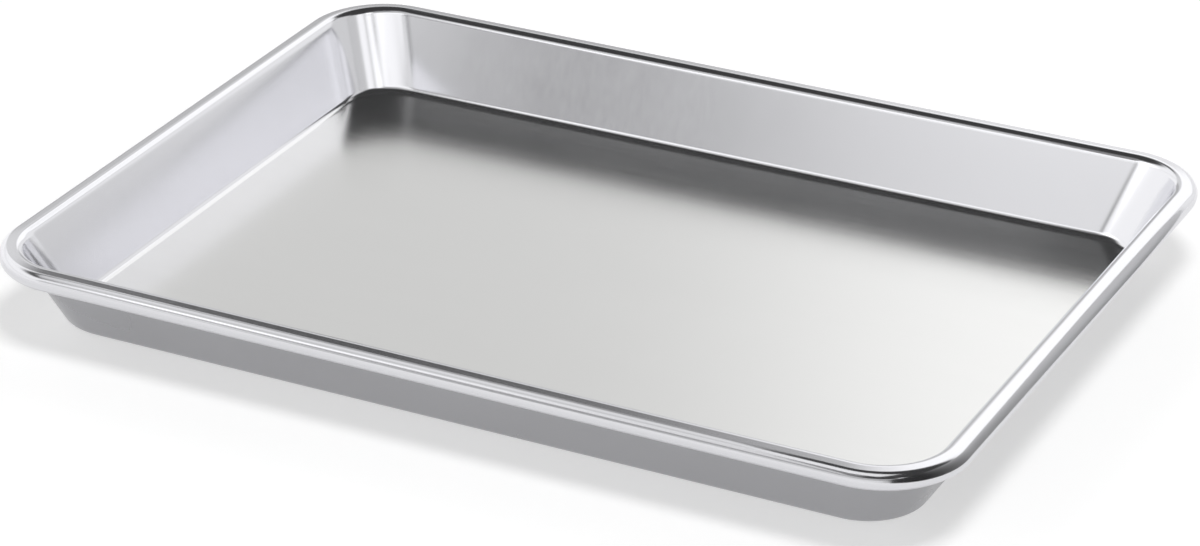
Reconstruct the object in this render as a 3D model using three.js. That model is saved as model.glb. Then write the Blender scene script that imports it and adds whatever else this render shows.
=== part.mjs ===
// A quarter-size sheet pan: one drawn aluminium sheet whose rim is curled round a steel wire.
// Millimetres, +Z up, +X along the pan. The origin is the middle of the underside of the floor.

import * as THREE from 'three';

// Overall sizes, over the outside of the rim and from the underside to the rim's top.
const panLength = 330;
const panWidth = 242;
const panHeight = 27.5;

// The sheet and how far the walls lean out from upright, in degrees.
const sheetThickness = 1;
const wallLean = 22;

// Corner radii in plan: at the rim's outermost edge, and at the edge of the flat floor.
const rimCorner = 28;
const floorCorner = 18;

// Radii of the sheet's bends on their hollow side: floor to wall, and wall to crown.
const floorFillet = 2.7;
const rimBend = 2.1;

// The rim: the straight crown on its top, which slopes down outwards, the wire in the curl, and how far the
// sheet goes on round the wire below its outermost point. The slope and the turn are in degrees.
const crownWidth = 2;
const crownSlope = 7;
const wireDiameter = 3.6;
const wireClearance = 0.3;
const curlUnder = 150;
const wireEndGap = 1.5;

// How finely round stretches are faceted, in steps or, for the section's bends, in degrees.
const cornerSteps = 10;
const facetAngle = 14;
const wireSides = 12;

const degrees = Math.PI / 180;
const lean = wallLean * degrees;
const slope = crownSlope * degrees;
const bendOutside = rimBend + sheetThickness;
const curlInside = wireDiameter / 2 + wireClearance;
const curlOutside = curlInside + sheetThickness;

// A section point's first coordinate is its distance out from the middle of the curl, negative towards the
// pan's middle. Its second is its height. The crown is tangent to the bend and to the curl.
const crownRun = crownWidth * Math.cos(slope) + (bendOutside - curlOutside) * Math.sin(slope);
const crownFall = crownWidth * Math.sin(slope) - (bendOutside - curlOutside) * Math.cos(slope);
const bendCentre = new THREE.Vector2(-crownRun, panHeight - bendOutside);
const curlCentre = new THREE.Vector2(0, bendCentre.y - crownFall);
const filletCentreHeight = sheetThickness + floorFillet;
const filletDrop = bendCentre.y - filletCentreHeight;
const filletCentre = new THREE.Vector2(
  bendCentre.x - (floorFillet + bendOutside) / Math.cos(lean) - filletDrop * Math.tan(lean),
  filletCentreHeight,
);
const wallTop = bendCentre.x - bendOutside * Math.cos(lean);

// Points of a round stretch of the section. It passes through every stop, with even steps between them.
function arc(centre, radius, stops) {
  const angles = [stops[0]];
  for (let s = 1; s < stops.length; s += 1) {
    const turn = stops[s] - stops[s - 1];
    const steps = Math.max(1, Math.round(Math.abs(turn) / (facetAngle * degrees)));
    for (let i = 1; i <= steps; i += 1) {
      angles.push(stops[s - 1] + (turn * i) / steps);
    }
  }
  return angles.map((angle) => (
    new THREE.Vector2(centre.x + radius * Math.cos(angle), centre.y + radius * Math.sin(angle))
  ));
}

// One face of the sheet, from the edge of the flat floor to the tucked edge of the curl. The inside face is
// the one that holds the food; the other lies one sheet thickness behind it.
function sheetFace(isInside) {
  const behind = isInside ? 0 : sheetThickness;
  const top = Math.PI / 2;
  return [
    ...arc(filletCentre, floorFillet + behind, [-top, -lean]),
    ...arc(bendCentre, bendOutside - behind, [Math.PI - lean, top, top - slope]),
    ...arc(curlCentre, curlOutside - behind, [top - slope, 0, -curlUnder * degrees]),
  ];
}

// The corner radius of the ring that a section point draws. Round the rim the rings share their corner
// centres; down the wall the radius runs evenly to that of the floor.
function cornerRadius(out) {
  const atWallTop = rimCorner - curlOutside + wallTop;
  if (out >= wallTop) {
    return rimCorner - curlOutside + out;
  }
  const downTheWall = (wallTop - out) / (wallTop - filletCentre.x);
  return atWallTop + (floorCorner - atWallTop) * downTheWall;
}

// A ring round the pan at a section point: a rounded rectangle, counter-clockwise from the +Y side's middle.
function ring(point) {
  const radius = cornerRadius(point.x);
  const halfLength = panLength / 2 - curlOutside + point.x - radius;
  const halfWidth = panWidth / 2 - curlOutside + point.x - radius;
  const corners = [[-1, 1], [-1, -1], [1, -1], [1, 1]];
  const points = [];
  corners.forEach(([sideX, sideY], corner) => {
    const start = Math.PI / 2 + (corner * Math.PI) / 2;
    for (let i = 0; i <= cornerSteps; i += 1) {
      const angle = start + (i * Math.PI) / 2 / cornerSteps;
      points.push(new THREE.Vector3(
        sideX * halfLength + radius * Math.cos(angle),
        sideY * halfWidth + radius * Math.sin(angle),
        point.y,
      ));
    }
  });
  return points;
}

// A geometry from rings of equally many points, each joined to the next, and triangles that cap both ends.
function joinedRings(rings, capTriangles) {
  const perRing = rings[0].length;
  const indices = [];
  for (let r = 0; r < rings.length - 1; r += 1) {
    const here = r * perRing;
    const next = here + perRing;
    for (let p = 0; p < perRing; p += 1) {
      const q = (p + 1) % perRing;
      indices.push(here + p, next + p, here + q);
      indices.push(here + q, next + p, next + q);
    }
  }
  indices.push(...capTriangles.flat());
  const geometry = new THREE.BufferGeometry();
  geometry.setFromPoints(rings.flat());
  geometry.setIndex(indices);
  geometry.computeVertexNormals();
  return geometry;
}

// The pan's sheet: its section carried round the pan, and the flat floor that closes it above and below.
function panShell() {
  const inside = sheetFace(true);
  const outside = sheetFace(false).reverse();
  const section = [...inside, ...outside];
  const rings = section.map(ring);
  const perRing = rings[0].length;
  const flatten = (points) => points.map((point) => new THREE.Vector2(point.x, point.y));
  const floorTop = THREE.ShapeUtils.triangulateShape(flatten(rings[0]), []);
  const underside = THREE.ShapeUtils.triangulateShape(flatten(rings.at(-1)), []);
  const lastStart = (rings.length - 1) * perRing;
  const caps = [
    ...floorTop,
    ...underside.map(([a, b, c]) => [lastStart + a, lastStart + c, lastStart + b]),
  ];
  return joinedRings(rings, caps);
}

// The wire in the curl: a round bar carried along the middle of the curl, with its two ends butted in the
// middle of the +Y side.
function rimWire() {
  const route = ring(curlCentre);
  const sideY = route[0].y;
  const first = new THREE.Vector3(-wireEndGap / 2, sideY, curlCentre.y);
  const last = new THREE.Vector3(wireEndGap / 2, sideY, curlCentre.y);
  const stops = [first, ...route, last];
  const up = new THREE.Vector3(0, 0, 1);
  const rings = stops.map((stop, i) => {
    const before = stops[Math.max(i - 1, 0)];
    const after = stops[Math.min(i + 1, stops.length - 1)];
    const incoming = stop.clone().sub(before).normalize();
    const outgoing = after.clone().sub(stop).normalize();
    const along = incoming.add(outgoing).normalize();
    const outward = along.clone().cross(up);
    return Array.from({ length: wireSides }, (_, k) => {
      const angle = (k * 2 * Math.PI) / wireSides;
      return stop.clone()
        .addScaledVector(outward, (wireDiameter / 2) * Math.cos(angle))
        .addScaledVector(up, (wireDiameter / 2) * Math.sin(angle));
    });
  });
  const lastStart = (rings.length - 1) * wireSides;
  const fan = Array.from({ length: wireSides - 2 }, (_, k) => [0, k + 1, k + 2]);
  const caps = [
    ...fan,
    ...fan.map(([a, b, c]) => [lastStart + a, lastStart + c, lastStart + b]),
  ];
  return joinedRings(rings, caps);
}

const satinAluminium = new THREE.MeshStandardMaterial({ color: 0xd2d2d4, roughness: 0.32, metalness: 1 });
const zincedSteel = new THREE.MeshStandardMaterial({ color: 0xa9adb0, roughness: 0.4, metalness: 1 });

function piece(name, geometry, material) {
  const mesh = new THREE.Mesh(geometry, material);
  mesh.name = name;
  return mesh;
}

const pan = new THREE.Group();
pan.add(piece('pan_shell', panShell(), satinAluminium));
pan.add(piece('rim_wire', rimWire(), zincedSteel));

export default pan;
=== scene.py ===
# %% [markdown]
# # A sheet pan in bare aluminium
# A sheet pan is one drawn sheet of aluminium. Its floor is flat, its walls lean out, and its rim is curled
# round a steel wire that keeps it straight. This lesson builds both pieces round a imported model that already
# has the right sizes, so the first step is to load that model and read its box for the sizes.

# %% Load the imported model
import math

import bpy
from mathutils import Matrix, Vector


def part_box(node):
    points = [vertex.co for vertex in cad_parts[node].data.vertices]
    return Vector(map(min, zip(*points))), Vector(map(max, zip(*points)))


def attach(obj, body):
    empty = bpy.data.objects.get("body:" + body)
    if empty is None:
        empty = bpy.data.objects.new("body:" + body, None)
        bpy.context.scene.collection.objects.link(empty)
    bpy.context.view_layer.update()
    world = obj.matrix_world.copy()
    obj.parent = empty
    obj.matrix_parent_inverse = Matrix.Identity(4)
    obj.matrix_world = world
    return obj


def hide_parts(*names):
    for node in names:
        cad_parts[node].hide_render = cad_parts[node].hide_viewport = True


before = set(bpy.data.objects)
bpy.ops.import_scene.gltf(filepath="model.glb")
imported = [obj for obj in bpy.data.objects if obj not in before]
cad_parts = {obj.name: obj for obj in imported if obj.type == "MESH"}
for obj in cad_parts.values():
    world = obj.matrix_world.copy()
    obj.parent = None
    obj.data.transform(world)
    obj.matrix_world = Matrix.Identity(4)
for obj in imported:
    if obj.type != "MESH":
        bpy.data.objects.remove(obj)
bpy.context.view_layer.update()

print("pieces in the packed model:", sorted(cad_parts))

# %% [markdown]
# ## Sizes
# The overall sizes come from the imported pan. The sizes of its section can't be measured from a box, so they
# are written here in metres, as they would stand on a drawing of the pan.

# %% Sizes of the pan
pan_low, pan_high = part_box("pan_shell")
pan_length, pan_width, pan_height = pan_high - pan_low
millimetre = 0.001
sheet_thickness = 1 * millimetre
wall_lean = math.radians(22)
rim_corner = 28 * millimetre
floor_corner = 18 * millimetre
floor_fillet = 2.7 * millimetre
rim_bend = 2.1 * millimetre
crown_width = 2 * millimetre
crown_slope = math.radians(7)
wire_diameter = 3.6 * millimetre
wire_clearance = 0.3 * millimetre
curl_under = math.radians(150)
wire_end_gap = 1.5 * millimetre
print("pan:", [round(size / millimetre, 2) for size in (pan_length, pan_width, pan_height)], "mm")

# %% [markdown]
# ## The section of the sheet
# Cut across one wall, the sheet runs from the flat floor through a small fillet, up the wall, over a bend,
# along a crown that slopes a little outwards, and down round the wire. Drawing it by hand would take many
# points. Here each round stretch is an arc about its own centre, so the bends stay true. A first coordinate
# counts out from the middle of the curl, and a second is height.

# %% Centres of the bends
curl_inside = wire_diameter / 2 + wire_clearance
curl_outside = curl_inside + sheet_thickness
bend_outside = rim_bend + sheet_thickness
crown_along = Vector((math.cos(crown_slope), -math.sin(crown_slope)))
crown_normal = Vector((math.sin(crown_slope), math.cos(crown_slope)))
bend_to_curl = crown_width * crown_along + (bend_outside - curl_outside) * crown_normal
bend_centre = Vector((-bend_to_curl.x, pan_height - bend_outside))
curl_centre = bend_centre + bend_to_curl
fillet_height = sheet_thickness + floor_fillet
fillet_reach = (floor_fillet + bend_outside) / math.cos(wall_lean)
fillet_centre = Vector((
    bend_centre.x - fillet_reach - (bend_centre.y - fillet_height) * math.tan(wall_lean),
    fillet_height,
))
wall_top = bend_centre.x - bend_outside * math.cos(wall_lean)
floor_middle = curl_outside - pan_width / 2
floor_inset = curl_outside - fillet_centre.x
print("the flat floor ends", round(floor_inset / millimetre, 2), "mm inside the rim's edge")

# %% Arcs and straights of the section
arc_step = math.radians(6)


def arc(centre, radius, *stops):
    """Points of a round stretch that passes through every stop, about one every arc_step."""
    angles = [stops[0]]
    for start, end in zip(stops, stops[1:]):
        steps = max(2, round(abs(end - start) / arc_step))
        angles += [start + (end - start) * step / steps for step in range(1, steps + 1)]
    return [centre + radius * Vector((math.cos(angle), math.sin(angle))) for angle in angles]


def straight(start, end, shares):
    """Points between two ends. Shares close to 0 and 1 hold the flat stretch flat up to its bends."""
    return [start.lerp(end, share) for share in shares]


# %% Both faces of the sheet
near_ends = (0.02, 0.08, 0.25, 0.5, 0.75, 0.92, 0.98)
floor_shares = (0, 0.2, 0.4, 0.6, 0.75, 0.86, 0.93, 0.97, 0.985, 0.995)


def sheet_face(behind):
    """One face of the sheet, this far behind its inside face, from the floor's middle to the tucked edge."""
    top = math.pi / 2
    fillet = arc(fillet_centre, floor_fillet + behind, -top, -wall_lean)
    bend = arc(bend_centre, bend_outside - behind, math.pi - wall_lean, top, top - crown_slope)
    curl = arc(curl_centre, curl_outside - behind, top - crown_slope, 0, -curl_under)
    middle = Vector((floor_middle, fillet[0].y))
    floor = straight(middle, fillet[0], floor_shares)
    wall = straight(fillet[-1], bend[0], near_ends)
    crown = straight(bend[-1], curl[0], near_ends)
    return [*floor, *fillet, *wall, *bend, *crown, *curl]


inside_face = sheet_face(0)
outside_face = sheet_face(sheet_thickness)
edge_centre = (inside_face[-1] + outside_face[-1]) / 2
tucked_edge = arc(edge_centre, sheet_thickness / 2, -curl_under, -curl_under - math.pi)
section = [*inside_face, *tucked_edge[1:-1], *reversed(outside_face)]
print("the section has", len(section), "points")

# %% [markdown]
# ## Distance along the sheet
# The finish changes along the sheet: grain on the floor, smoother walls, a rougher outer face. The bead's side
# and the outer face are also darker, which is painted shade. Height can't tell these apart, because the inner
# and the outer face share their heights. Each point is therefore marked with its distance along the section,
# and the finish reads that mark.

# %% Distance along the sheet
along = [0.0]
for before, after in zip(section, section[1:]):
    along.append(along[-1] + (after - before).length)
outermost = max(range(len(inside_face)), key=lambda place: section[place].x)
floor_end = fillet_centre.x - floor_middle
bead_side = along[outermost]
tucked = along[len(inside_face)]
under_start = along[-1] - floor_end
print("along the inside face:", round(bead_side / millimetre, 1), "mm to the side of the bead")

# %% [markdown]
# ## Numbers inside a node tree
# Geometry and shader trees do sums with Math nodes, one node for each sum. This small class lets a socket be
# added, multiplied and compared as a plain number is, and adds the nodes as it goes. The rules below then
# read as formulas.

# %% Helpers for node trees


def add_node(tree, kind, inputs=None, **settings):
    """Adds a node with these settings. An input is a value, or a socket or number of the tree to link."""
    made = tree.nodes.new(kind)
    for name, value in settings.items():
        setattr(made, name, value)
    for key, value in (inputs or {}).items():
        value = value.socket if isinstance(value, Number) else value
        if isinstance(value, bpy.types.NodeSocket):
            tree.links.new(value, made.inputs[key])
        else:
            made.inputs[key].default_value = value
    return made


def new_tree(name, kind, inputs, outputs):
    """A node tree with named inputs and outputs, its inputs as sockets by name, and its output node."""
    tree = bpy.data.node_groups.new(name, kind)
    for socket_name, socket_type in inputs.items():
        tree.interface.new_socket(name=socket_name, in_out="INPUT", socket_type=socket_type)
    for socket_name, socket_type in outputs.items():
        tree.interface.new_socket(name=socket_name, in_out="OUTPUT", socket_type=socket_type)
    given = tree.nodes.new("NodeGroupInput")
    result = tree.nodes.new("NodeGroupOutput")
    return tree, {socket_name: given.outputs[socket_name] for socket_name in inputs}, result


# %% Numbers that a tree works out


class Number:
    """A number that a node tree works out."""

    def __init__(self, tree, socket):
        self.tree = tree
        self.socket = socket

    def sum(self, operation, *others, first=None):
        values = dict(enumerate([self if first is None else first, *others]))
        made = add_node(self.tree, "ShaderNodeMath", values, operation=operation)
        return Number(self.tree, made.outputs[0])

    def __add__(self, other):
        return self.sum("ADD", other)

    def __radd__(self, other):
        return self.sum("ADD", other)

    def __sub__(self, other):
        return self.sum("SUBTRACT", other)

    def __rsub__(self, other):
        return self.sum("SUBTRACT", self, first=other)

    def __mul__(self, other):
        return self.sum("MULTIPLY", other)

    def __truediv__(self, other):
        return self.sum("DIVIDE", other)

    def at_least(self, other):
        return self.sum("MAXIMUM", other)

    def at_most(self, other):
        return self.sum("MINIMUM", other)

    def floor(self):
        return self.sum("FLOOR")

    def wrapped(self, other):
        return self.sum("FLOORED_MODULO", other)

    def sign(self):
        return self.sum("SIGN")

    def absolute(self):
        return self.sum("ABSOLUTE")

    def arcsin(self):
        return self.sum("ARCSINE")

    def arctan2(self, other):
        return self.sum("ARCTAN2", other)

    def cos(self):
        return self.sum("COSINE")

    def sin(self):
        return self.sum("SINE")

    def is_about(self, other):
        return self.sum("COMPARE", other, 0.5)

    def ramp(self, start, end):
        """0 at start and 1 at end, with an easy curve between them."""
        values = {"Value": self, "From Min": start, "From Max": end}
        made = add_node(self.tree, "ShaderNodeMapRange", values, interpolation_type="SMOOTHSTEP")
        return Number(self.tree, made.outputs["Result"])


# %% [markdown]
# ## The rule for a ring round the pan
# Every point of the section draws a ring round the pan: a rectangle with round corners. Round the rim the
# rings share their corner centres, as on a bent tube. Down the wall the corner tightens evenly to that of the
# floor. Lofting between drawn rings could make this shape, but one rule for all rings has fewer numbers and
# no seams. Along the sides the columns crowd towards the corners, which keeps the shading of the flat walls
# clean where the curve begins.

# %% Size of a ring
quarter_turn = math.pi / 2
ring_values = {
    "Length": pan_length, "Width": pan_width, "Rim corner": rim_corner, "Floor corner": floor_corner,
    "Curl outside": curl_outside, "Wall top": wall_top, "Floor edge": fillet_centre.x,
}
ring_counts = {"Corner steps": 28, "Side steps": 24}
ring_sockets = {
    **{name: "NodeSocketFloat" for name in ring_values},
    **{name: "NodeSocketInt" for name in ring_counts},
}


def ring_size(numbers, out):
    """Half the straight sides of a section point's ring, and the radius of its corners."""
    rim_to_wall = numbers["Rim corner"] - numbers["Curl outside"]
    top_radius = rim_to_wall + numbers["Wall top"]
    floor_radius = numbers["Floor corner"]
    down_share = (numbers["Wall top"] - out) / (numbers["Wall top"] - numbers["Floor edge"])
    down_share = down_share.at_least(0).at_most(1)
    past_top = (out - numbers["Wall top"]).at_least(0)
    past_floor = (out - numbers["Floor edge"]).at_most(0)
    radius = top_radius + (floor_radius - top_radius) * down_share + past_top + past_floor
    radius = radius.at_least(0)
    half_length = numbers["Length"] / 2 - numbers["Curl outside"] + out - radius
    half_width = (numbers["Width"] / 2 - numbers["Curl outside"] + out - radius).at_least(0)
    return half_length, half_width, radius


print("stops round the pan:", 4 * sum(ring_counts.values()))

# %% Place on a ring


def ring_point(numbers, out, height, column):
    """The place on a section point's ring, for a column counted from the end of the +Y side."""
    half_length, half_width, radius = ring_size(numbers, out)
    steps = numbers["Corner steps"] + numbers["Side steps"]
    corner = (column / steps).floor()
    step = column - corner * steps
    turned = step.at_most(numbers["Corner steps"]) / numbers["Corner steps"]
    even = (step - numbers["Corner steps"]).at_least(0) / numbers["Side steps"]
    eased = (1 - (even * math.pi).cos()) / 2
    here = (corner + 1.5) * quarter_turn
    after = (corner + 2.5) * quarter_turn
    angle = (corner + 1 + turned) * quarter_turn
    side_x = here.cos().sign() * (1 - eased) + after.cos().sign() * eased
    side_y = here.sin().sign() * (1 - eased) + after.sin().sign() * eased
    x = side_x * half_length + radius * angle.cos()
    y = side_y * half_width + radius * angle.sin()
    return {"X": x, "Y": y, "Z": height}


def ring_numbers(tree, given):
    """The ring's inputs of a tree, as numbers by name."""
    return {name: Number(tree, given[name]) for name in ring_sockets}


# %% [markdown]
# ## The pan's sheet
# The section's points go in as a bare line of vertices. A grid has one row for each of them and one column
# for each stop round the pan, and the ring rule moves every grid point to its place. Merging closes the seam
# and the floor's middle. The result is baked to a plain mesh, so that it exports as any mesh does.

# %% Start and end of a tree


def sampled(tree, line, value, row, kind="FLOAT"):
    """The value that a row's point has on a line of points."""
    lookup = {"Geometry": line, "Value": value, "Index": row}
    return add_node(tree, "GeometryNodeSampleIndex", lookup, data_type=kind).outputs[0]


def send_out(tree, shape, finish, result):
    """Ends a tree: instances become real, the finish goes on, and the shape goes out."""
    shape = add_node(tree, "GeometryNodeRealizeInstances", {"Geometry": shape}).outputs[0]
    finished = {"Geometry": shape, "Material": finish}
    shape = add_node(tree, "GeometryNodeSetMaterial", finished).outputs[0]
    tree.links.new(shape, result.inputs[0])


# %% Tree that carries the section round
merge_distance = 0.002 * millimetre


def sheet_tree():
    inputs = {"Section": "NodeSocketGeometry", **ring_sockets, "Finish": "NodeSocketMaterial"}
    outputs = {"Sheet": "NodeSocketGeometry"}
    tree, given, result = new_tree("Sheet carried round", "GeometryNodeTree", inputs, outputs)
    numbers = ring_numbers(tree, given)
    line = given["Section"]
    rows = add_node(tree, "GeometryNodeAttributeDomainSize", {"Geometry": line}).outputs["Point Count"]
    columns = (numbers["Corner steps"] + numbers["Side steps"]) * 4 + 1
    grid = add_node(tree, "GeometryNodeMeshGrid", {"Vertices X": rows, "Vertices Y": columns})
    index = Number(tree, add_node(tree, "GeometryNodeInputIndex").outputs[0])
    row = (index / columns).floor()
    column = (index - row * columns).wrapped(columns - 1)

    place = add_node(tree, "GeometryNodeInputPosition").outputs[0]
    point = sampled(tree, line, place, row, "FLOAT_VECTOR")
    mark = add_node(tree, "GeometryNodeInputNamedAttribute", {"Name": "along"}).outputs["Attribute"]
    distance = sampled(tree, line, mark, row)
    parts = add_node(tree, "ShaderNodeSeparateXYZ", {0: point}).outputs
    moved = ring_point(numbers, Number(tree, parts["X"]), parts["Z"], column)
    moved = add_node(tree, "ShaderNodeCombineXYZ", moved).outputs[0]

    placed = {"Geometry": grid.outputs["Mesh"], "Position": moved}
    shape = add_node(tree, "GeometryNodeSetPosition", placed).outputs[0]
    marked = {"Geometry": shape, "Name": "along", "Value": distance}
    shape = add_node(tree, "GeometryNodeStoreNamedAttribute", marked).outputs[0]
    merged = {"Geometry": shape, "Distance": merge_distance}
    shape = add_node(tree, "GeometryNodeMergeByDistance", merged).outputs[0]
    shape = add_node(tree, "GeometryNodeSetShadeSmooth", {"Geometry": shape}).outputs[0]
    send_out(tree, shape, given["Finish"], result)
    return tree


sheet_maker = sheet_tree()
print(sheet_maker.name, "is a tree of", len(sheet_maker.nodes), "nodes")

# %% Bake a piece from its tree


def bake(name, points, marks, tree, values):
    """A piece made by a tree from a line of points and a mark on each, as a plain mesh at the origin."""
    line = bpy.data.meshes.new(name + "_line")
    line.from_pydata(points, [(i, i + 1) for i in range(len(points) - 1)], [])
    line.attributes.new("along", "FLOAT", "POINT").data.foreach_set("value", marks)
    piece = bpy.data.objects.new(name, line)
    bpy.context.scene.collection.objects.link(piece)
    maker = piece.modifiers.new("maker", "NODES")
    maker.node_group = tree
    for item in tree.interface.items_tree:
        if item.in_out == "INPUT" and item.name in values:
            maker[item.identifier] = values[item.name]
    graph = bpy.context.evaluated_depsgraph_get()
    made = piece.evaluated_get(graph)
    mesh = bpy.data.meshes.new_from_object(made, preserve_all_data_layers=True, depsgraph=graph)
    mesh.name = name
    piece.modifiers.clear()
    piece.data = mesh
    print(name, "has", len(mesh.polygons), "faces")
    return piece


# %% [markdown]
# ## Streaks for both metals
# Rolled sheet and drawn wire both carry fine lines, and both have faint clouds. A photo of metal could give
# them, but it would have to be wrapped round every bend. A noise that is stretched along one axis does it
# without a picture, so one node group makes all of them and each metal sets how fine they are.

# %% Materials, streaks and relief


def new_material(name):
    """A material with a bare Principled shader, with its tree and that shader."""
    material = bpy.data.materials.new(name)
    material.use_nodes = True
    tree = material.node_tree
    tree.nodes.clear()
    shader = tree.nodes.new("ShaderNodeBsdfPrincipled")
    end = tree.nodes.new("ShaderNodeOutputMaterial")
    tree.links.new(shader.outputs[0], end.inputs["Surface"])
    return material, tree, shader


def streaks_group():
    """Noise stretched by how many of its marks fit in a metre along each axis."""
    inputs = {"Place": "NodeSocketVector", "Per metre": "NodeSocketVector", "Detail": "NodeSocketFloat"}
    tree, given, result = new_tree("Streaks", "ShaderNodeTree", inputs, {"Level": "NodeSocketFloat"})
    spread = {0: given["Place"], 1: given["Per metre"]}
    spread = add_node(tree, "ShaderNodeVectorMath", spread, operation="MULTIPLY").outputs[0]
    values = {"Vector": spread, "Scale": 1, "Detail": given["Detail"]}
    noise = add_node(tree, "ShaderNodeTexNoise", values)
    tree.links.new(noise.outputs["Fac"], result.inputs["Level"])
    return tree


streaks_tree = streaks_group()
print(streaks_tree.name, "is a group of", len(streaks_tree.nodes), "nodes")

# %% Placing the streaks in a material


def streaks(tree, per_metre, detail):
    """A level about 0 from the shared streaks, in the piece's own coordinates."""
    place = add_node(tree, "ShaderNodeTexCoord").outputs["Object"]
    values = {"Place": place, "Per metre": per_metre, "Detail": detail}
    made = add_node(tree, "ShaderNodeGroup", values, node_tree=streaks_tree)
    return Number(tree, made.outputs["Level"]) - 0.5


def relief(tree, shader, height):
    """A very shallow bump on a shader."""
    values = {"Height": height, "Strength": 1, "Distance": 0.01 * millimetre}
    bump = add_node(tree, "ShaderNodeBump", values)
    tree.links.new(bump.outputs["Normal"], shader.inputs["Normal"])


def colour_shader(tree, shader, **levels):
    """Gives a shader its base colour from a number for each channel."""
    levels = {channel.capitalize(): level for channel, level in levels.items()}
    colour = add_node(tree, "ShaderNodeCombineColor", levels).outputs[0]
    tree.links.new(colour, shader.inputs["Base Color"])


# %% [markdown]
# ## Satin aluminium
# Bare rolled aluminium is bright and slightly soft in its reflections. On the floor the rolling grain still
# shows as fine lines along the pan. The walls and the rim were drawn over a polished tool, which smoothed
# them and left faint upright lines. The outer face is rougher. The outer face and the side of the bead are
# also given a darker colour, which is painted shade for the shaded floor that they mirror. Four masks along
# the sheet tell these stretches apart, which is less work than four materials and leaves no seam between them.

# %% Masks along the sheet


def sheet_masks(tree):
    """Masks from 0 to 1 that begin at the wall, at the bead's side, on the outer face and underneath."""
    mark = add_node(tree, "ShaderNodeAttribute", attribute_name="along", attribute_type="GEOMETRY")
    distance = Number(tree, mark.outputs["Fac"])
    on_wall = distance.ramp(floor_end - 1 * millimetre, floor_end + 3 * millimetre)
    # The bead's side mask only darkens the colour, which is painted shade.
    beside = distance.ramp(bead_side - 3 * millimetre, bead_side)
    outside = distance.ramp(tucked - 2 * millimetre, tucked + 2 * millimetre)
    under = distance.ramp(under_start - 1 * millimetre, under_start + 3 * millimetre)
    return on_wall, beside, outside, under


# %% Satin aluminium
rolling_grain = (25, 1400, 1400)
drawing_lines = (500, 500, 25)
soft_clouds = (30, 30, 30)
floor_roughness = 0.2
floor_brightness = 0.8


def satin_aluminium():
    material, tree, shader = new_material("satin_aluminium")
    shader.inputs["Metallic"].default_value = 1
    on_wall, beside, outside, under = sheet_masks(tree)
    grain = streaks(tree, rolling_grain, 2) * (1 - on_wall + under)
    drawn = streaks(tree, drawing_lines, 2) * (on_wall - outside)
    clouds = streaks(tree, soft_clouds, 3)
    roughness = floor_roughness - on_wall * 0.05 + outside * 0.13
    roughness = roughness + grain * 0.08 + drawn * 0.03 + clouds * 0.04
    tree.links.new(roughness.socket, shader.inputs["Roughness"])
    # Painted shade: the bead's side and the outer face are darker, for the shaded floor they mirror. The walls
    # are a little bluer.
    bright = floor_brightness - beside * 0.12 - outside * 0.23 + clouds * 0.03 + grain * 0.02
    colour_shader(tree, shader, red=bright, green=bright, blue=bright * (0.99 + on_wall * 0.045))
    relief(tree, shader, grain + drawn * 0.1)
    print(material.name, "has", len(tree.nodes), "nodes")
    return material


# %% Bake the sheet
sheet_points = [(point.x, 0, point.y) for point in section]
sheet_values = {**ring_values, **ring_counts, "Finish": satin_aluminium()}
pan_shell = bake("drawn_sheet", sheet_points, along, sheet_maker, sheet_values)

# %% [markdown]
# ## The wire in the rim
# A drawn steel wire lies in the curl and stiffens the rim. It is bent to the same rounded rectangle, and its
# two ends meet in the middle of a long side with a small gap. A curve drawn by hand could be given a round
# bevel. Here the same ring rule places the path's points, so that the wire stays in the middle of the curl,
# and Curve to Mesh gives them a round section.

# %% Tree that bends the wire
wire_sides = 24


def wire_tree():
    sizes = {name: "NodeSocketFloat" for name in ("Height", "Diameter", "End gap")}
    inputs = {"Line": "NodeSocketGeometry", **sizes, **ring_sockets, "Finish": "NodeSocketMaterial"}
    outputs = {"Wire": "NodeSocketGeometry"}
    tree, given, result = new_tree("Wire in the curl", "GeometryNodeTree", inputs, outputs)
    numbers = ring_numbers(tree, given)
    stops = (numbers["Corner steps"] + numbers["Side steps"]) * 4
    line = add_node(tree, "GeometryNodeMeshLine", {"Count": stops + 1}).outputs[0]
    index = Number(tree, add_node(tree, "GeometryNodeInputIndex").outputs[0])
    column = (index - numbers["Side steps"] / 2).wrapped(stops)
    at_curl_middle = index * 0
    moved = ring_point(numbers, at_curl_middle, given["Height"], column)
    half_gap = Number(tree, given["End gap"]) / 2
    moved["X"] = moved["X"] + half_gap * (index.is_about(stops) - index.is_about(0))
    moved = add_node(tree, "ShaderNodeCombineXYZ", moved).outputs[0]

    placed = {"Geometry": line, "Position": moved}
    line = add_node(tree, "GeometryNodeSetPosition", placed).outputs[0]
    path = add_node(tree, "GeometryNodeMeshToCurve", {"Mesh": line}).outputs[0]
    circle = {"Resolution": wire_sides, "Radius": Number(tree, given["Diameter"]) / 2}
    round_bar = add_node(tree, "GeometryNodeCurvePrimitiveCircle", circle).outputs[0]
    bar = {"Curve": path, "Profile Curve": round_bar, "Fill Caps": True}
    shape = add_node(tree, "GeometryNodeCurveToMesh", bar).outputs[0]
    send_out(tree, shape, given["Finish"], result)
    return tree


wire_maker = wire_tree()
print(wire_maker.name, "is a tree of", len(wire_maker.nodes), "nodes")

# %% [markdown]
# ## Zinced steel
# The wire is plated with zinc against rust, which leaves a grey, mottled and slightly rough skin. It is only
# seen through the slit under the rim, so the shared streaks at two scales are enough.

# %% Zinced steel
zinc_mottle = (350, 350, 350)
wire_lines = (900, 900, 1800)
zinc_roughness = 0.35
zinc_brightness = 0.52


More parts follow.
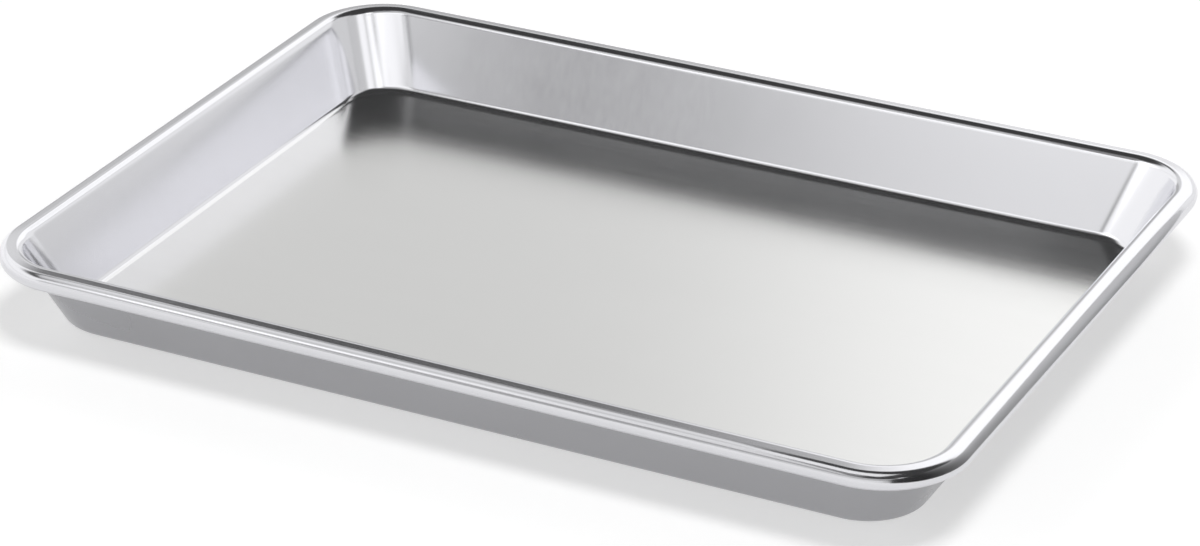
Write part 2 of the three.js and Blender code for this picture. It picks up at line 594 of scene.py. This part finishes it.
def zinced_steel():
    material, tree, shader = new_material("zinced_steel")
    shader.inputs["Metallic"].default_value = 1
    zinc = streaks(tree, zinc_mottle, 3)
    lines = streaks(tree, wire_lines, 1)
    roughness = zinc_roughness + zinc * 0.2 + lines * 0.1
    tree.links.new(roughness.socket, shader.inputs["Roughness"])
    bright = zinc_brightness + zinc * 0.12
    colour_shader(tree, shader, red=bright, green=bright * 1.02, blue=bright * 1.04)
    relief(tree, shader, zinc + lines)
    print(material.name, "has", len(tree.nodes), "nodes")
    return material


# %% Bake the wire
wire_sizes = {"Height": curl_centre.y, "Diameter": wire_diameter, "End gap": wire_end_gap}
wire_values = {**ring_values, **ring_counts, **wire_sizes, "Finish": zinced_steel()}
starting_line = [(0, 0, 0), (millimetre, 0, 0)]
rim_wire = bake("stiffening_wire", starting_line, [0, 0], wire_maker, wire_values)

# %% [markdown]
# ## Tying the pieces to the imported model
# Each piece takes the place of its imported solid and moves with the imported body. The pan has no joints, so
# there is one body.

# %% Pieces for the frame
for piece, node, slot in ((pan_shell, "pan_shell", "aluminium_sheet"), (rim_wire, "rim_wire", "steel_wire")):
    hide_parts(node)
    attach(piece, "root")
    print(piece.name, "stands for", node)

# %% [markdown]
# ## Floor
# The pan stands on a white sheet of paper. Its colour and the light make most of its white. More lamps would
# make it whiter but would also burn out the metal. Instead a weak glow that only camera, mirror and glass
# rays meet lifts it to full white and leaves the pan's shadow in place.

# %% Flat stage pieces


def flat_stage(name, corners, paper):
    """A flat piece of the studio, which isn't part of the pan."""
    mesh = bpy.data.meshes.new(name)
    mesh.from_pydata(corners, [], [range(len(corners))])
    mesh.materials.append(paper)
    flat = bpy.data.objects.new(name, mesh)
    bpy.context.scene.collection.objects.link(flat)
    return flat


# %% Floor
floor_reach = 3.0
floor_drop = 0.1 * millimetre
floor_white = 0.68
floor_glow = 0.46
white_floor, floor_tree, floor_shader = new_material("white_floor")
floor_shader.inputs["Base Color"].default_value = (floor_white, floor_white, floor_white, 1)
floor_shader.inputs["Roughness"].default_value = 1
floor_shader.inputs["Specular IOR Level"].default_value = 0
floor_shader.inputs["Emission Color"].default_value = (1, 1, 1, 1)
rays = add_node(floor_tree, "ShaderNodeLightPath").outputs
seen = Number(floor_tree, rays["Is Camera Ray"]) + rays["Is Glossy Ray"] + rays["Is Transmission Ray"]
floor_tree.links.new((seen * floor_glow).socket, floor_shader.inputs["Emission Strength"])
square = ((-1, -1), (1, -1), (1, 1), (-1, 1))
floor_corners = [(x * floor_reach, y * floor_reach, -floor_drop) for x, y in square]
studio_floor = flat_stage("studio_floor", floor_corners, white_floor)
print("the floor is", 2 * floor_reach, "m wide")

# %% [markdown]
# ## The room
# Bright metal shows the room round it, so the room is what gives the pan its look. White panels stand all
# round at different heights and levels, and overhead it is dark, which draws the dark lines along the rim.
# Cards on stands could do this, but panels in the world need only a direction and a size each. Where two
# panels overlap, the brighter one counts.

# %% A soft panel in the world
world = bpy.data.worlds.new("studio")
bpy.context.scene.world = world
world.use_nodes = True
room = world.node_tree
direction = add_node(room, "ShaderNodeTexCoord").outputs["Generated"]
axes = add_node(room, "ShaderNodeSeparateXYZ", {0: direction}).outputs
east, north, rise = [Number(room, axis) for axis in axes]
azimuth = east.arctan2(north)
elevation = rise.arcsin()


def panel(middle, reach, soft, low, high, edge, strength):
    """A panel about an azimuth, counted from the back to the right, between two elevations, in degrees."""
    angles = (middle, reach, soft, low, high, edge)
    middle, reach, soft, low, high, edge = [math.radians(angle) for angle in angles]
    aside = ((azimuth - (middle - math.pi)).wrapped(2 * math.pi) - math.pi).absolute()
    across = 1 - aside.ramp(reach - soft, reach + soft)
    upright = elevation.ramp(low - edge, low + edge) * (1 - elevation.ramp(high - edge, high + edge))
    return across * upright * strength


# %% Panels round the pan
room_level = 0.05
panels = {
    "back, high": panel(355, 22.5, 8, 16, 47, 4, 1.25),
    "back, low": panel(0, 25, 8, -9, 18, 4, 0.95),
    "back right, high": panel(18, 14, 4, 32, 46, 3, 1.25),
    "back right, low": panel(28, 14, 3, -9, 34, 4, 0.98),
    "right": panel(60, 22, 4, -9, 45, 5, 0.75),
    "right to front": panel(102, 24, 5, -9, 40, 5, 0.67),
    "strip for the far corner": panel(108, 9, 4, 20, 40, 5, 1.2),
    "strip for the left wall": panel(125.5, 7.5, 5, 28, 47, 3, 1.35),
    "front right": panel(160, 36, 5, -9, 22, 5, 0.67),
    "front": panel(178, 26.2, 4, -9, 24, 5, 0.93),
    "front, upper": panel(182, 42, 8, 25, 39, 4, 0.6),
    "front, top": panel(206, 23, 8, 42, 66, 8, 0.27),
    "front left, dim": panel(208, 26, 5, -9, 24, 4, 0.22),
    "front left, low": panel(205, 45, 6, -9, 8, 3, 1.1),
    "left, low": panel(262, 54, 4, -9, 23, 4, 1.1),
    "left, high": panel(266, 50, 4, 20, 46, 5, 1.1),
    "back left, high": panel(326, 24, 6, 16, 34, 3, 0.8),
    "back left, low": panel(326, 24, 6, -9, 20, 4, 0.5),
}
first_panel, *other_panels = panels.values()
room_light = first_panel.at_least(room_level)
for other in other_panels:
    room_light = room_light.at_least(other)
background = room.nodes["Background"]
room.links.new(room_light.socket, background.inputs["Strength"])
background.inputs["Color"].default_value = (1, 1, 1, 1)
bpy.context.scene.view_settings.view_transform = "Standard"
print("the room has", len(panels), "panels")

# %% [markdown]
# ## Softboxes near the pan
# The front rim shows a brighter sky than the back wall does, so its light has to be close to it. Four strips
# hang over the front of the pan, side by side, and only mirror rays meet them. A lamp high over the right
# side gives the soft shadow. It is hidden from mirror rays, because its spot would burn on the polished rim.

# %% A softbox


def softbox(name, middle, facing, width, height, radiance):
    """A rectangular lamp. Its power follows from its area and how bright its face is."""
    light = bpy.data.lights.new(name, "AREA")
    light.shape = "RECTANGLE"
    light.size = width
    light.size_y = height
    light.energy = radiance * math.pi * width * height
    lamp = bpy.data.objects.new(name, light)
    lamp.location = middle
    lamp.rotation_euler = Vector(facing).to_track_quat("-Z", "Y").to_euler()
    bpy.context.scene.collection.objects.link(lamp)
    print(name, "gives", round(light.energy, 3), "W")
    return lamp


# %% Strips over the front, and the shadow's lamp
strip_height = 0.2
straight_down = (0, 0, -1)
# Each strip's left, right, near and far edge in metres, and how bright its face is.
front_strips = {
    "near": (-0.25, 0.04, 0.03, -0.06, 0.35),
    "middle": (-0.25, 0.04, -0.06, -0.15, 0.8),
    "far": (-0.25, 0.04, -0.15, -0.34, 0.6),
    "corner": (0.04, 0.18, -0.1, -0.2, 0.9),
}
for name, (left, right, near, far, radiance) in front_strips.items():
    middle = ((left + right) / 2, (near + far) / 2, strip_height)
    strip = softbox("front_softbox_" + name, middle, straight_down, right - left, near - far, radiance)
    strip.visible_diffuse = False
shadow_lamp = softbox("shadow_lamp", (0.44, -0.22, 2.15), (-0.2, 0.1, -0.97), 0.7, 0.7, 14)
shadow_lamp.visible_glossy = False

# %% [markdown]
# ## Graded card
# The side of the right bead is grey and darkens towards the near corner. A panel in the world would turn the
# left wall grey as well, so a card stands close beside the pan instead. Its paper runs from light at the back
# to nearly black at the front. Only mirror rays meet it, so it neither shows nor shades the floor.

# %% Paper of the card
card_paper, card_tree, card_shader = new_material("card_paper")
card_shader.inputs["Roughness"].default_value = 1
card_place = add_node(card_tree, "ShaderNodeTexCoord").outputs["Object"]
card_depth = Number(card_tree, add_node(card_tree, "ShaderNodeSeparateXYZ", {0: card_place}).outputs["Y"])
card_level = 0.02 + card_depth.ramp(-0.14, 0.09) * 0.9
colour_shader(card_tree, card_shader, red=card_level, green=card_level, blue=card_level)

# %% Card beside the near corner


def beside_pan(y, height):
    """A place on the card's upright plane, which passes the pan's right side at a slant."""
    return (0.211 - 0.322 * y, y, height)


card_outline = [(-0.4, 0), (0.09, 0), (0.16, 0.13), (-0.4, 0.2)]
card_corners = [beside_pan(y, height) for y, height in card_outline]
graded_card = flat_stage("graded_card", card_corners, card_paper)
graded_card.visible_camera = graded_card.visible_diffuse = graded_card.visible_shadow = False
print("the card stands", round(beside_pan(0, 0)[0] - pan_high.x, 3), "m from the rim")

# %% [markdown]
# ## Camera
# The camera stands in front of the pan's right half and looks down on it. Its angles, distance and lens were
# matched to the edges of the rim, the floor and the base. Pointing it at the pan with a constraint would be
# quicker, but a full matrix also holds the slight roll and the shift of the pan in the picture.

# %% Camera
image_width = 1200
camera_azimuth = math.radians(27.261)
camera_elevation = math.radians(26.727)
camera_roll = math.radians(-0.342)
focal_pixels = 4117.2
camera_distance = 1.33332
origin_right = 6.67
origin_down = 13.44

back = Vector((
    math.sin(camera_azimuth) * math.cos(camera_elevation),
    -math.cos(camera_azimuth) * math.cos(camera_elevation),
    math.sin(camera_elevation),
))
level_right = Vector((math.cos(camera_azimuth), math.sin(camera_azimuth), 0))
level_up = back.cross(level_right)
right = math.cos(camera_roll) * level_right + math.sin(camera_roll) * level_up
up = back.cross(right)
pixel = camera_distance / focal_pixels
eye = back * camera_distance - right * origin_right * pixel + up * origin_down * pixel
lens = bpy.data.cameras.new("camera")
lens.sensor_width = 36
lens.lens = focal_pixels / image_width * lens.sensor_width
camera = bpy.data.objects.new("camera", lens)
camera.matrix_world = Matrix((
    (right.x, up.x, back.x, eye.x),
    (right.y, up.y, back.y, eye.y),
    (right.z, up.z, back.z, eye.z),
    (0, 0, 0, 1),
))
bpy.context.scene.collection.objects.link(camera)
bpy.context.scene.camera = camera
print("camera lens", round(lens.lens, 1), "mm")
